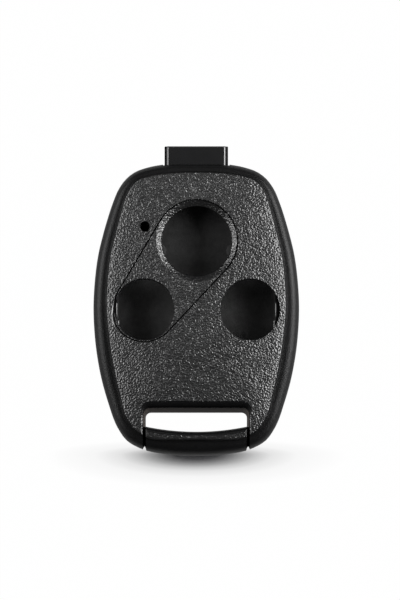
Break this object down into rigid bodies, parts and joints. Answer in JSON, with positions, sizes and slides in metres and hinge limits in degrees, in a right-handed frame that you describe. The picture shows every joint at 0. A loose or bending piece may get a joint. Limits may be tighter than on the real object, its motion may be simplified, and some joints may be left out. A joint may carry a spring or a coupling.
{
  "type": "car key shell",
  "caption": "Empty shell of a car remote key: front cover with round button holes, rear cover with key-ring slot and bar, blade holder, inner tray, chip cradle and cover screw.",
  "frame": {"origin": "middle of the whole shell seen from above, on the surface that its flat back lies on", "axes": "+Z out of the button face, +Y towards the blade, +X to the right when seen from the front"},
  "size_m": [0.038, 0.0572, 0.013],
  "materials": {
    "cover_plastic": "black ABS, grained face and satin rim",
    "stub_plastic": "polished black",
    "tray_plastic": "matt black",
    "plate_steel": "pressed steel",
    "screw_steel": "plated steel"
  },
  "bodies": {
    "rear_shell": {"rear_cover": "cover_plastic", "chip_holder": "tray_plastic"},
    "blade_unit": {"blade_holder": "stub_plastic", "blade_clamp": "plate_steel", "clamp_screw_left": "screw_steel", "clamp_screw_right": "screw_steel"},
    "tray": {"remote_tray": "tray_plastic"},
    "front_shell": {"front_cover": "cover_plastic"},
    "screw": {"cover_screw": "screw_steel"}
  },
  "joints": [
    {"name": "blade_unit_lift", "type": "slide", "parent": "rear_shell", "child": "blade_unit", "axis": [0, 0, 1], "range_m": [0, 0.008]},
    {"name": "tray_lift", "type": "slide", "parent": "blade_unit", "child": "tray", "axis": [0, 0, 1], "range_m": [0, 0.01]},
    {"name": "cover_lift", "type": "slide", "parent": "tray", "child": "front_shell", "axis": [0, 0, 1], "range_m": [0, 0.015]},
    {"name": "cover_screw_out", "type": "slide", "parent": "rear_shell", "child": "screw", "axis": [0, 0, -1], "range_m": [0, 0.0095]}
  ]
}
